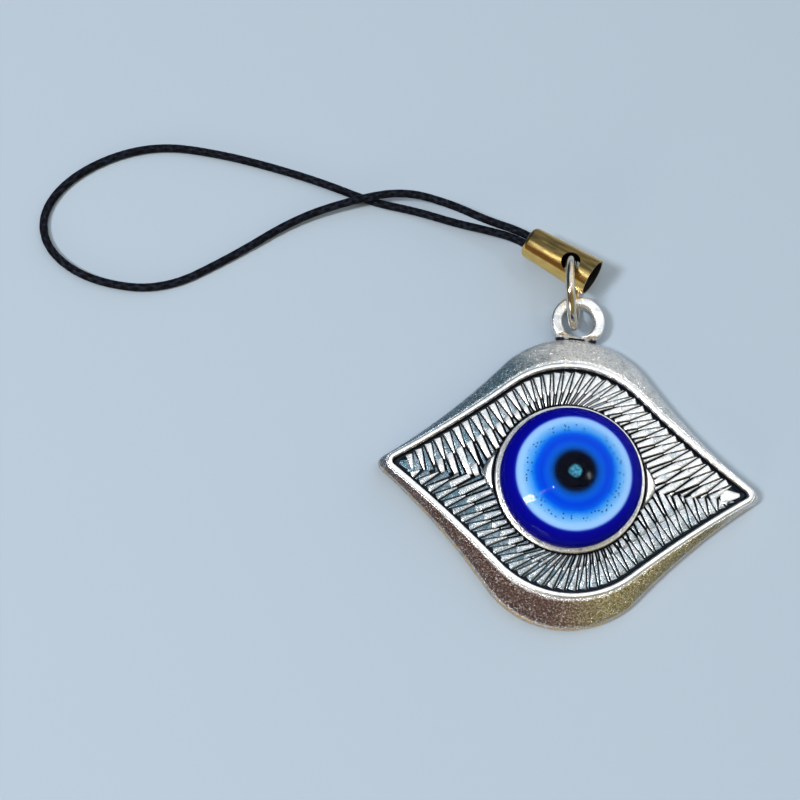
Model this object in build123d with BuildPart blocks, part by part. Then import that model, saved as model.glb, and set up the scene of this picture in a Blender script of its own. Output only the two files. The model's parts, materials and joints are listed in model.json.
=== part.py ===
# An evil eye charm on a cord loop, lying face up as it rests on a table.
#
# The charm is a lens-shaped zinc casting with a domed resin eye glued into a round seat. A round wire
# jump ring joins the casting's bail to a brass cord cap. Both ends of the cord loop go in through the
# cap's closed end and are tied in a knot inside it. The ring stands on the table and passes under the
# bail, so it props the top of the casting up by the thickness of its wire.
#
# Millimetres. +Z is up and +Y runs from the casting's lower edge to the bail. The origin is on the
# table, under the middle of the charm (casting, eye, ring and cap, without the cord).
from build123d import *

import os
from math import asin, atan2, cos, degrees, hypot, pi, radians, sin, sqrt, tan

# --- driving dimensions ---------------------------------------------------------------------------
# casting outline: round at its top and bottom crowns, drawn out to a point at each side
HALF_WIDTH = 24.8  # middle to the sharp corner that the tip radius then rounds
HALF_HEIGHT = 18.8
CROWN_RADIUS = 12.2
CROWN_ANGLE = 50.0  # how far each crown arc turns from the middle, in degrees
TIP_RADIUS = 0.9

# casting section: side wall, sloping border, flat rim, groove, field and eye seat
WALL_HEIGHT = 1.7
BORDER_RISE = 1.7  # side wall's top edge up to the rim
CROWN_BORDER = 4.4  # outline to groove, at the crowns
TIP_BORDER = 2.0  # the same at the tips, corner to corner
FIELD_CROWN_RADIUS = 12.2
FIELD_CROWN_ANGLE = 41.0
FIELD_TIP_RADIUS = 0.5
RIM_WIDTH = 0.7
GROOVE_WIDTH = 0.7
GROOVE_DEPTH = 1.1  # below the rim
FIELD_DROP = 0.6  # below the rim
LIP_WIDTH = 0.45  # thin raised wall round the eye
LIP_RISE = 0.4  # above the field
LIP_GROOVE_WIDTH = 0.45
LIP_GROOVE_DEPTH = 0.5  # below the field
SEAT_FLOOR = 1.4  # metal left under the eye

# bail: a flat ring cast on the top crown
BAIL_HOLE_RADIUS = 2.1
BAIL_WALL = 1.45
BAIL_THICKNESS = 1.8
BAIL_BACK = 0.25  # bail's back above the casting's
BAIL_STAND = 2.5  # bail centre above the crown
BAIL_EDGE = 0.4  # rounding of its rims

# eye: clear dome over a cobalt core with three inlaid discs
EYE_RADIUS = 9.0
EYE_HEIGHT = 6.1  # from its flat underside to the top of the dome
DOME_RADIUS = 18.0
SHOULDER_RADIUS = 2.0
CLEAR_THICKNESS = 0.3
WHITE_RADIUS = 7.25
WHITE_THICKNESS = 0.7
BLUE_RADIUS = 5.6
BLUE_THICKNESS = 0.5
PUPIL_RADIUS = 2.7
PUPIL_THICKNESS = 0.3
EYE_CLEARANCE = 0.1  # round the eye in its seat
ADHESIVE_THICKNESS = 0.15

# jump ring: round wire, butted ends
RING_DIAMETER = 10.0  # outside
WIRE_DIAMETER = 1.2
RING_BUTT_GAP = 0.2
RING_BUTT_AT = -45.0  # place of the butt joint round the ring, in degrees up from its far side
RING_LEAN = 14.0  # top of the ring towards -X
RING_YAW = 4.0  # far side of the ring towards -X
RING_ROLL = 8.0  # how far the ring's centre lies beyond the bail's top wall
BAIL_SEAT_GAP = 0.12  # wire to the bail's top wall
BAIL_SEAT_AT = 10.0  # where the wire hangs on the bail, in degrees left of its top

# cord cap: tapered brass ferrule, closed at the cord end, with a cross hole for the ring
CAP_TAIL = 6.8  # cross hole to the closed end
CAP_MOUTH = 3.1  # cross hole to the open end
CAP_TAIL_RADIUS = 2.1
CAP_MOUTH_RADIUS = 2.55
CAP_WALL = 0.35
CAP_SHOULDER = 0.6
CROSS_HOLE_CLEARANCE = 0.65  # cross hole wider than the wire all round
CAP_CLIMB = 7.0  # where the cap hangs on the ring, in degrees up from its far side
CAP_SWING = 56.0  # cap turned from straight out of the ring towards -X
CAP_OFFSET = 0.8  # cross hole's axis inside the wire's centreline

# cord and knot
CORD_DIAMETER = 1.0
STRAND_SPACING = 1.3
STRAND_CLEARANCE = 0.1
KNOT_LENGTH = 2.6
KNOT_CLEARANCE = 0.25  # round the knot in the cap's narrow end
KNOT_EDGE = 0.6
KNOT_GAP = 0.05
CORD_EXIT_RUN = 1.8  # straight out of the cap
CORD_LIFT = 0.02  # under the cord where it lies on the table
ARC_SHARE = 0.45  # part of the shorter run that each bend may use

# --- sizes that follow ----------------------------------------------------------------------------
RIM_TOP = WALL_HEIGHT + BORDER_RISE
FIELD_TOP = RIM_TOP - FIELD_DROP
EYE_SEAT = SEAT_FLOOR + ADHESIVE_THICKNESS
EYE_TOP = EYE_SEAT + EYE_HEIGHT
SEAT_RADIUS = EYE_RADIUS + EYE_CLEARANCE
LIP_RADIUS = SEAT_RADIUS + LIP_WIDTH
CORE_RADIUS = EYE_RADIUS - CLEAR_THICKNESS
CORE_TOP = EYE_TOP - CLEAR_THICKNESS
FIELD_HALF_WIDTH = HALF_WIDTH - TIP_BORDER
FIELD_HALF_HEIGHT = HALF_HEIGHT - CROWN_BORDER
BAIL_CENTRE = HALF_HEIGHT + BAIL_STAND
BAIL_RADIUS = BAIL_HOLE_RADIUS + BAIL_WALL
BAIL_MIDLINE = BAIL_HOLE_RADIUS + BAIL_WALL / 2
BAIL_MIDDLE = BAIL_BACK + BAIL_THICKNESS / 2
RING_RADIUS = (RING_DIAMETER - WIRE_DIAMETER) / 2
CROSS_HOLE_RADIUS = WIRE_DIAMETER / 2 + CROSS_HOLE_CLEARANCE
END_HOLE_RADIUS = (STRAND_SPACING + CORD_DIAMETER) / 2 + STRAND_CLEARANCE
KNOT_RADIUS = CAP_TAIL_RADIUS - CAP_WALL - KNOT_CLEARANCE
CORD_LIE = CORD_DIAMETER / 2 + CORD_LIFT

# --- how the pieces lie ---------------------------------------------------------------------------
# Ring axes: FORWARD and UP lie in the ring's plane, SIDE is square to it and points to +X.
lean, yaw = radians(RING_LEAN), radians(RING_YAW)
FORWARD = Vector(-sin(yaw), cos(yaw), 0)
UP = Vector(-sin(lean) * cos(yaw), -sin(lean) * sin(yaw), cos(lean))
SIDE = FORWARD.cross(UP)

# The bail's top wall sits inside the ring, clear of the wire all round by the seat gap.
wall_corner = hypot(BAIL_WALL / 2 - BAIL_EDGE, BAIL_THICKNESS / 2 - BAIL_EDGE) + BAIL_EDGE
BAIL_TO_RING = RING_RADIUS - WIRE_DIAMETER / 2 - wall_corner - BAIL_SEAT_GAP
roll = radians(RING_ROLL)
seat_to_centre = (FORWARD * sin(roll) + UP * cos(roll)) * BAIL_TO_RING
RING_HEIGHT = RING_RADIUS * cos(lean) + WIRE_DIAMETER / 2

# The casting tilts about the lower crown until the bail's wall is at the height the ring gives it.
seat_x = -BAIL_MIDLINE * sin(radians(BAIL_SEAT_AT))
seat_y = BAIL_CENTRE + BAIL_MIDLINE * cos(radians(BAIL_SEAT_AT))
seat_height = RING_HEIGHT - seat_to_centre.Z
reach = seat_y + HALF_HEIGHT
tilt = asin(seat_height / hypot(reach, BAIL_MIDDLE)) - atan2(BAIL_MIDDLE, reach)

# The cap hangs on the ring's far side with its cross hole along the wire.
climb, swing = radians(CAP_CLIMB), radians(CAP_SWING)
OUTWARD = FORWARD * cos(climb) + UP * sin(climb)
ALONG_WIRE = UP * cos(climb) - FORWARD * sin(climb)
TAILWARD = OUTWARD * cos(swing) - SIDE * sin(swing)
ACROSS = TAILWARD.cross(ALONG_WIRE)

# The origin is under the middle of the charm, from the lower crown to the far corner of the cap.
seat_from_eye = Vector(seat_x, seat_y * cos(tilt) - BAIL_MIDDLE * sin(tilt), 0)
hole_from_eye = seat_from_eye + seat_to_centre + OUTWARD * (RING_RADIUS - CAP_OFFSET)
far_edge = hole_from_eye + TAILWARD * (CAP_TAIL - CAP_SHOULDER)
far_reach = far_edge.Y + (CAP_TAIL_RADIUS - CAP_SHOULDER) * sqrt(1 - TAILWARD.Y**2) + CAP_SHOULDER
EYE_Y = (HALF_HEIGHT * cos(tilt) - far_reach) / 2

BACK = Plane(
    origin=(0, EYE_Y, HALF_HEIGHT * sin(tilt)),
    x_dir=(1, 0, 0),
    z_dir=(0, -sin(tilt), cos(tilt)),
)
SECTION = Plane(origin=BACK.origin, x_dir=BACK.x_dir, z_dir=-BACK.y_dir)
BAIL_SEAT = BACK.from_local_coords(Vector(seat_x, seat_y, BAIL_MIDDLE))
RING_CENTRE = BAIL_SEAT + seat_to_centre
CAP_HOLE = RING_CENTRE + OUTWARD * (RING_RADIUS - CAP_OFFSET)
CAP_SECTION = Plane(origin=CAP_HOLE, x_dir=ALONG_WIRE, z_dir=ALONG_WIRE.cross(TAILWARD))


# --- casting --------------------------------------------------------------------------------------
def ogee(half_width, half_height, crown_radius, crown_angle, tip_radius, outset=0.0):
    """Outline with a round crown above and below and a rounded point at each side.

    An outset moves every edge outwards, or inwards if it is negative.
    """
    turn = radians(crown_angle)
    drop = half_height - crown_radius * (1 - cos(turn))
    chord = atan2(drop, half_width - crown_radius * sin(turn))
    corner = half_width + outset / sin(2 * chord - turn)
    radius = crown_radius + outset
    with BuildSketch() as outline:
        with BuildLine():
            crown = CenterArc((0, half_height - crown_radius), radius, 90 - crown_angle, crown_angle)
            TangentArc(crown @ 0, (corner, 0), tangent=-(crown % 0))
            mirror(about=Plane.YZ)
            mirror(about=Plane.XZ)
        make_face()
        tips = outline.vertices().group_by(Axis.X)
        fillet(tips[0] + tips[-1], tip_radius + max(outset, 0.0))
    return outline.sketch


def field_ogee(outset):
    """Outline of the groove's outer wall, or of an edge that runs beside it."""
    return ogee(
        FIELD_HALF_WIDTH,
        FIELD_HALF_HEIGHT,
        FIELD_CROWN_RADIUS,
        FIELD_CROWN_ANGLE,
        FIELD_TIP_RADIUS,
        outset,
    )


outer_outline = ogee(HALF_WIDTH, HALF_HEIGHT, CROWN_RADIUS, CROWN_ANGLE, TIP_RADIUS)
rim_outline = field_ogee(RIM_WIDTH)
groove_outline = field_ogee(0.0)
field_outline = field_ogee(-GROOVE_WIDTH)

with BuildPart() as bail:
    with BuildSketch(BACK.offset(BAIL_BACK)):
        with Locations((0, BAIL_CENTRE)):
            Circle(BAIL_RADIUS)
            Circle(BAIL_HOLE_RADIUS, mode=Mode.SUBTRACT)
    extrude(amount=BAIL_THICKNESS)
    fillet(bail.edges().filter_by(GeomType.CIRCLE), BAIL_EDGE)

with BuildPart() as pendant_casting:
    # side wall and sloping border up to the rim
    with BuildSketch(BACK):
        add(outer_outline)
    extrude(amount=WALL_HEIGHT)
    with BuildSketch(BACK.offset(WALL_HEIGHT)):
        add(outer_outline)
    with BuildSketch(BACK.offset(RIM_TOP)):
        add(rim_outline)
    loft(ruled=True)
    # field, with a deeper groove along the rim
    with BuildSketch(BACK.offset(RIM_TOP)):
        add(groove_outline)
    extrude(amount=-GROOVE_DEPTH, mode=Mode.SUBTRACT)
    with BuildSketch(BACK.offset(RIM_TOP - GROOVE_DEPTH)):
        add(field_outline)
    extrude(amount=GROOVE_DEPTH - FIELD_DROP)
    # thin lip round the eye, with a groove outside it and the seat inside it
    with BuildSketch(BACK.offset(FIELD_TOP)):
        Circle(LIP_RADIUS + LIP_GROOVE_WIDTH)
    extrude(amount=-LIP_GROOVE_DEPTH, mode=Mode.SUBTRACT)
    with BuildSketch(BACK.offset(SEAT_FLOOR)):
        Circle(LIP_RADIUS)
    extrude(amount=FIELD_TOP + LIP_RISE - SEAT_FLOOR)
    with BuildSketch(BACK.offset(SEAT_FLOOR)):
        Circle(SEAT_RADIUS)
    extrude(amount=RIM_TOP, mode=Mode.SUBTRACT)
    add(bail.part)


# --- eye ------------------------------------------------------------------------------------------
def dome(radius, top):
    """Flat-bottomed disc with a spherical crown and a rounded shoulder."""
    with BuildPart() as blank:
        with BuildSketch(SECTION) as profile:
            with BuildLine():
                half_turn = degrees(asin(radius / DOME_RADIUS))
                crown = CenterArc((0, top - DOME_RADIUS), DOME_RADIUS, 90 - half_turn, half_turn)
                Polyline(crown @ 1, (0, EYE_SEAT), (radius, EYE_SEAT), crown @ 0)
            make_face()
            fillet(profile.vertices().sort_by_distance(crown @ 0)[0], SHOULDER_RADIUS)
        revolve(axis=Axis(BACK.origin, BACK.z_dir))
    return blank.part


core = dome(CORE_RADIUS, CORE_TOP)


def inlay(radius, thickness):
    """Round skin of the core, flush with its surface."""
    with BuildPart() as disc:
        add(core)
        with BuildSketch(BACK):
            Circle(radius)
        extrude(amount=EYE_TOP, mode=Mode.INTERSECT)
        add(dome(CORE_RADIUS, CORE_TOP - thickness), mode=Mode.SUBTRACT)
    return disc.part


white_blank = inlay(WHITE_RADIUS, WHITE_THICKNESS)
blue_blank = inlay(BLUE_RADIUS, BLUE_THICKNESS)

with BuildPart() as eye_pupil:
    add(inlay(PUPIL_RADIUS, PUPIL_THICKNESS))

with BuildPart() as eye_blue_layer:
    add(blue_blank)
    add(eye_pupil.part, mode=Mode.SUBTRACT)

with BuildPart() as eye_white_layer:
    add(white_blank)
    add(blue_blank, mode=Mode.SUBTRACT)

with BuildPart() as eye_base:
    add(core)
    add(white_blank, mode=Mode.SUBTRACT)

with BuildPart() as eye_clear_dome:
    add(dome(EYE_RADIUS, EYE_TOP))
    add(core, mode=Mode.SUBTRACT)

with BuildPart() as eye_adhesive:
    with BuildSketch(BACK.offset(SEAT_FLOOR)):
        Circle(CORE_RADIUS)
    extrude(amount=ADHESIVE_THICKNESS)

# --- jump ring ------------------------------------------------------------------------------------
butt = radians(RING_BUTT_AT)
BUTT_OUTWARD = FORWARD * cos(butt) + UP * sin(butt)
BUTT_PLANE = Plane(origin=RING_CENTRE, x_dir=BUTT_OUTWARD, z_dir=SIDE.cross(BUTT_OUTWARD))

with BuildPart() as jump_ring:
    with BuildSketch(BUTT_PLANE):
        with Locations((RING_RADIUS, 0)):
            Circle(WIRE_DIAMETER / 2)
    revolve(axis=Axis(RING_CENTRE, SIDE), revolution_arc=360 - degrees(RING_BUTT_GAP / RING_RADIUS))

# --- cord cap and knot ----------------------------------------------------------------------------
CAP_AXIS = Axis(CAP_HOLE, TAILWARD)

with BuildPart() as cord_cap:
    with BuildSketch(CAP_SECTION) as cap_profile:
        with BuildLine():
            Polyline(
                (CAP_MOUTH_RADIUS, -CAP_MOUTH),
                (CAP_TAIL_RADIUS, CAP_TAIL),
                (END_HOLE_RADIUS, CAP_TAIL),
                (END_HOLE_RADIUS, CAP_TAIL - CAP_WALL),
                (CAP_TAIL_RADIUS - CAP_WALL, CAP_TAIL - CAP_WALL),
                (CAP_MOUTH_RADIUS - CAP_WALL, -CAP_MOUTH),
                close=True,
            )
        make_face()
        fillet(cap_profile.vertices().sort_by_distance((CAP_TAIL_RADIUS, CAP_TAIL))[0], CAP_SHOULDER)
    revolve(axis=CAP_AXIS)
    with BuildSketch(Plane(origin=CAP_HOLE, z_dir=ALONG_WIRE)):
        Circle(CROSS_HOLE_RADIUS)
    extrude(amount=CAP_MOUTH_RADIUS, both=True, mode=Mode.SUBTRACT)

KNOT_TOP = CAP_TAIL - CAP_WALL - KNOT_GAP

with BuildPart() as cord_knot:
    with BuildSketch(CAP_SECTION) as knot_profile:
        with Locations((KNOT_RADIUS / 2, KNOT_TOP - KNOT_LENGTH / 2)):
            Rectangle(KNOT_RADIUS, KNOT_LENGTH)
        fillet(knot_profile.vertices().group_by(Axis.X)[-1], KNOT_EDGE)
    revolve(axis=CAP_AXIS)


# --- cord -----------------------------------------------------------------------------------------
def strand_point(side, along):
    """A point on one strand's straight stretch through the cap's end hole."""
    return CAP_HOLE + TAILWARD * along + ACROSS * (side * STRAND_SPACING / 2)


CORD_ROUTE = [
    strand_point(1, KNOT_TOP),
    strand_point(1, CAP_TAIL + CORD_EXIT_RUN),
    # over the other strand, in a long low hump
    Vector(-13.0, 26.9, 4.2),
    Vector(-18.2, 29.3, 2.9),
    Vector(-24.6, 30.8, 2.3),
    Vector(-31.5, 28.8, 1.9),
    Vector(-38.8, 25.6, 1.1),
    # round the loop, on the table
    Vector(-46.6, 19.4, CORD_LIE),
    Vector(-55.0, 13.7, CORD_LIE),
    Vector(-64.2, 13.9, CORD_LIE),
    Vector(-70.6, 17.2, CORD_LIE),
    Vector(-72.9, 22.2, CORD_LIE),
    Vector(-70.9, 27.6, CORD_LIE),
    Vector(-65.4, 32.3, CORD_LIE),
    Vector(-58.4, 34.9, CORD_LIE),
    Vector(-50.2, 34.5, CORD_LIE),
    Vector(-42.0, 33.1, CORD_LIE),
    Vector(-35.2, 31.5, CORD_LIE),
    # under the first strand and up to the cap again
    Vector(-28.8, 29.5, CORD_LIE),
    Vector(-22.4, 28.7, 0.60),
    Vector(-17.0, 27.2, 1.3),
    Vector(-12.9, 25.1, 3.4),
    strand_point(-1, CAP_TAIL + CORD_EXIT_RUN),
    strand_point(-1, KNOT_TOP),
]


def bend_radii(points):
    """Largest arc that each inner point's two runs have room for."""
    radii = []
    for before, here, after in zip(points, points[1:], points[2:]):
        arriving, leaving = here - before, after - here
        half_turn = radians(arriving.get_angle(leaving)) / 2
        radii.append(ARC_SHARE * min(arriving.length, leaving.length) / tan(half_turn))
    return radii


route_radii = bend_radii(CORD_ROUTE)

with BuildLine() as cord_path:
    FilletPolyline(*CORD_ROUTE, radius=route_radii)

with BuildPart() as cord_loop:
    with BuildSketch(Plane(origin=cord_path.line @ 0, z_dir=cord_path.line % 0)):
        Circle(CORD_DIAMETER / 2)
    sweep(path=cord_path.wire())

# --- labels and files -----------------------------------------------------------------------------
pieces = {
    "pendant_casting": pendant_casting,
    "eye_adhesive": eye_adhesive,
    "eye_base": eye_base,
    "eye_white_layer": eye_white_layer,
    "eye_blue_layer": eye_blue_layer,
    "eye_pupil": eye_pupil,
    "eye_clear_dome": eye_clear_dome,
    "jump_ring": jump_ring,
    "cord_cap": cord_cap,
    "cord_knot": cord_knot,
    "cord_loop": cord_loop,
}

os.makedirs("parts", exist_ok=True)
for name, piece in pieces.items():
    piece.part.label = name
    export_step(piece.part, f"parts/{name}.step")

cord_length = cord_path.wire().length
print("bend radii, mm:", " ".join(f"{radius:.1f}" for radius in route_radii))
print(f"cord length {cord_length:.1f} mm")
tube_volume = cord_loop.part.volume / (pi * (CORD_DIAMETER / 2) ** 2 * cord_length)
print(f"cord volume over section times length {tube_volume:.4f}")
for label, point in (("bail seat", BAIL_SEAT), ("ring centre", RING_CENTRE), ("cap hole", CAP_HOLE)):
    print(label, [round(value, 3) for value in point])
for label, axis in (("ring axis", SIDE), ("along wire", ALONG_WIRE), ("tailward", TAILWARD)):
    print(label, [round(value, 5) for value in axis])
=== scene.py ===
"""Evil eye charm on a cord loop: a silver lens-shaped casting with a domed blue eye, hung by a jump
ring in a brass cap on a black braided cord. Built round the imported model, lying face up on a table."""

import json
import logging
from dataclasses import dataclass
from enum import Enum
from math import acos, atan2, cos, degrees, exp, hypot, pi, radians, sin, sqrt
from typing import Any, Callable

import bmesh
import bpy
from mathutils import Matrix, Vector


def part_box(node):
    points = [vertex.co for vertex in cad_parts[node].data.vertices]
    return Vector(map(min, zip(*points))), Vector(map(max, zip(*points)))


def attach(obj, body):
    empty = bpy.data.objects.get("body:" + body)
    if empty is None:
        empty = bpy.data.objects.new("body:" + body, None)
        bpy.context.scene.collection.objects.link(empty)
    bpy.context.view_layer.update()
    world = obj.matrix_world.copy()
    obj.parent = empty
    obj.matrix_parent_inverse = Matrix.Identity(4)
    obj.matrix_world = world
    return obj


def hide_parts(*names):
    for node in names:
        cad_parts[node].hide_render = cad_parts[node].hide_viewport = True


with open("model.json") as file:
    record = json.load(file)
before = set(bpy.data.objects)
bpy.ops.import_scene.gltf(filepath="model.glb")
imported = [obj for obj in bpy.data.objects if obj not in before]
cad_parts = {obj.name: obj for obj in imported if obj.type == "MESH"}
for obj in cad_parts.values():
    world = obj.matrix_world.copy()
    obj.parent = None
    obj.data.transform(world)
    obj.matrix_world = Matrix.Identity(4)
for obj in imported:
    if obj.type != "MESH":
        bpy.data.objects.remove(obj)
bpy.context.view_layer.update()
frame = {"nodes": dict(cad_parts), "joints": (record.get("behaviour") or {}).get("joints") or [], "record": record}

log = logging.getLogger("charm")
MM = 0.001
NEAR = 1e-9
Pair = tuple[float, float]
Point = tuple[float, float, float]
Colour = tuple[float, float, float]
Section = tuple[Point, ...]


class Body(Enum):
    """The bodies that a piece can ride on."""

    PENDANT = "pendant"
    RING = "ring"
    CORD_END = "cord_end"


class Slot(Enum):
    """The record's finishes."""

    SILVER = "antique_silver"
    GLUE = "adhesive"
    COBALT = "eye_cobalt"
    PALE = "eye_pale_blue"
    AZURE = "eye_azure"
    BLACK = "eye_black"
    CLEAR = "clear_resin"
    NICKEL = "nickel_wire"
    BRASS = "brass_cap"
    NYLON = "black_nylon"


# --- places ---
@dataclass(frozen=True)
class Placement:
    """A right-handed local frame in millimetres, and where it lies in the model."""

    origin: Vector
    x: Vector
    z: Vector

    def matrix(self) -> Matrix:
        """Local millimetres to the model's metres.

        Returns:
            The matrix.
        """
        z = self.z.normalized()
        x = (self.x - z * self.x.dot(z)).normalized()
        turn = Matrix((x, z.cross(x), z)).transposed().to_4x4()
        return Matrix.Translation(self.origin) @ turn @ Matrix.Scale(MM, 4)


def mount_placement(name: str) -> Placement:
    """The frame of a mount, with Z against the mount's axis and X along the model's.

    Args:
        name: the mount's name in the record.

    Returns:
        The placement whose origin is the mount.
    """
    mount = next(m for m in frame["record"]["mounts"] if m["name"] == name)
    return Placement(Vector(mount["pos_m"]), Vector((1, 0, 0)), -Vector(mount["axis"]))


def joint(name: str) -> dict[str, Any]:
    """The record of one joint."""
    return next(j for j in frame["joints"] if j["name"] == name)


# --- shader graphs ---
class Signal:
    """A node's output socket that takes part in arithmetic."""

    def __init__(self, graph: "Graph", socket: bpy.types.NodeSocket) -> None:
        """Keeps the socket and the graph it belongs to."""
        self.graph = graph
        self.socket = socket

    def _math(self, operation: str, *values: Any) -> "Signal":
        """A Math node on these values."""
        return self.graph.node("ShaderNodeMath", {"operation": operation}, dict(enumerate(values)))

    def __add__(self, other: Any) -> "Signal":
        """This plus other."""
        return self._math("ADD", self, other)

    def __radd__(self, other: Any) -> "Signal":
        """Other plus this."""
        return self._math("ADD", other, self)

    def __sub__(self, other: Any) -> "Signal":
        """This minus other."""
        return self._math("SUBTRACT", self, other)

    def __rsub__(self, other: Any) -> "Signal":
        """Other minus this."""
        return self._math("SUBTRACT", other, self)

    def __mul__(self, other: Any) -> "Signal":
        """This times other."""
        return self._math("MULTIPLY", self, other)

    def __rmul__(self, other: Any) -> "Signal":
        """Other times this."""
        return self._math("MULTIPLY", other, self)

    def __truediv__(self, other: Any) -> "Signal":
        """This over other."""
        return self._math("DIVIDE", self, other)

    def __gt__(self, other: Any) -> "Signal":
        """One where this is above other."""
        return self._math("GREATER_THAN", self, other)

    def clipped(self) -> "Signal":
        """This held between nought and one."""
        return self.graph.node("ShaderNodeClamp", {}, {"Value": self})

    def ramp(self, low: float, high: float) -> "Signal":
        """Smoothly from nought at low to one at high.

        Args:
            low: where it starts to rise.
            high: where it is full.

        Returns:
            The ramp's value.
        """
        settings = {"interpolation_type": "SMOOTHSTEP"}
        inputs = {"Value": self, "From Min": low, "From Max": high}
        return self.graph.node("ShaderNodeMapRange", settings, inputs)


class Graph:
    """The node tree of a material or a world."""

    def __init__(self, name: str, owners: Any = None) -> None:
        """Makes an empty material of that name, or another owner of a tree.

        Args:
            name: the name of the new material or world.
            owners: the file's worlds, where it isn't a material.
        """
        owners = bpy.data.materials if owners is None else owners
        self.owner = owners.new(name)
        self.owner.use_nodes = True
        self.tree = self.owner.node_tree
        self.tree.nodes.clear()

    def node(
        self,
        kind: str,
        settings: dict[str, Any] | None = None,
        inputs: dict[Any, Any] | None = None,
        output: Any = 0,
    ) -> Signal:
        """Adds a node.

        Args:
            kind: the node's type.
            settings: its settings, set first; "stops" are a ramp's places and colours.
            inputs: its sockets' values or signals, by name or number.
            output: the name or number of the output that is wanted.

        Returns:
            That output.
        """
        made = self.tree.nodes.new(kind)
        for key, value in (settings or {}).items():
            if key == "stops":
                self._set_stops(made.color_ramp, value)
            else:
                setattr(made, key, value)
        for key, value in (inputs or {}).items():
            if isinstance(value, Signal):
                self.tree.links.new(value.socket, made.inputs[key])
            else:
                made.inputs[key].default_value = value
        return Signal(self, made.outputs[output] if made.outputs else None)

    def _set_stops(self, ramp: bpy.types.ColorRamp, stops: list[tuple[float, Colour]]) -> None:
        """Gives a ramp its stops, in order.

        Args:
            ramp: the ramp of a Color Ramp node.
            stops: each stop's place and colour.
        """
        while len(ramp.elements) < len(stops):
            ramp.elements.new(0.5)
        for element, (place, colour) in zip(ramp.elements, stops):
            element.position = place
            element.color = (*colour, 1.0)

    def local(self, placement: Placement) -> Signal:
        """Object coordinates in a placement's own millimetres.

        Args:
            placement: the frame that the pattern lies in.

        Returns:
            The coordinates.
        """
        matrix = placement.matrix()
        where = self.node("ShaderNodeTexCoord", output="Object")
        inputs = {
            "Vector": where,
            "Location": matrix.translation,
            "Rotation": matrix.to_euler(),
            "Scale": (MM, MM, MM),
        }
        return self.node("ShaderNodeMapping", {"vector_type": "TEXTURE"}, inputs)

    def attribute(self, name: str) -> Signal:
        """A mesh attribute's value."""
        return self.node("ShaderNodeAttribute", {"attribute_name": name}, output="Fac")

    def noise(self, vector: Signal, scale: float, detail: float = 3.0) -> Signal:
        """Noise with that many lumps to the unit."""
        inputs = {"Vector": vector, "Scale": scale, "Detail": detail}
        return self.node("ShaderNodeTexNoise", {}, inputs, "Fac")

    def mix(self, factor: Any, first: Any, second: Any) -> Signal:
        """First where factor is nought, second where it is one.

        Args:
            factor: how much of the second.
            first: a colour or a signal.
            second: another.

        Returns:
            The mixed colour.
        """
        settings = {"data_type": "RGBA"}
        inputs = {0: factor, 6: self.rgba(first), 7: self.rgba(second)}
        return self.node("ShaderNodeMix", settings, inputs, 2)

    def rgba(self, colour: Any) -> Any:
        """A colour with its alpha, or the signal as it is."""
        return colour if isinstance(colour, Signal) else (*colour, 1.0)

    def vector_math(self, operation: str, *values: Any, output: Any = 0) -> Signal:
        """A Vector Math node on these values."""
        settings = {"operation": operation}
        return self.node("ShaderNodeVectorMath", settings, dict(enumerate(values)), output)

    def voronoi(self, vector: Signal, scale: float, output: str) -> Signal:
        """One output of flat cells, that many to the unit."""
        inputs = {"Vector": vector, "Scale": scale, "Randomness": 1.0}
        return self.node("ShaderNodeTexVoronoi", {"voronoi_dimensions": "2D"}, inputs, output)

    def bump(self, height: Signal, distance: float, strength: float = 1.0) -> Signal:
        """A normal from a height, whose full swing is distance metres."""
        inputs = {"Height": height, "Distance": distance, "Strength": strength}
        return self.node("ShaderNodeBump", {}, inputs)

    def principled(self, **inputs: Any) -> Signal:
        """A Principled shader, its sockets named with underscores for spaces."""
        named = {key.replace("_", " "): value for key, value in inputs.items()}
        return self.node("ShaderNodeBsdfPrincipled", {}, named)

    def split(self, vector: Signal) -> tuple[Signal, Signal, Signal]:
        """A vector's three parts.

        Args:
            vector: the vector.

        Returns:
            Its X, Y and Z.
        """
        made = self.node("ShaderNodeSeparateXYZ", {}, {0: vector})
        outputs = made.socket.node.outputs
        return made, Signal(self, outputs[1]), Signal(self, outputs[2])

    def done(self, shader: Signal, kind: str = "ShaderNodeOutputMaterial") -> Any:
        """The material, or world, with that shader on its surface."""
        self.node(kind, {}, {"Surface": shader})
        return self.owner


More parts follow.
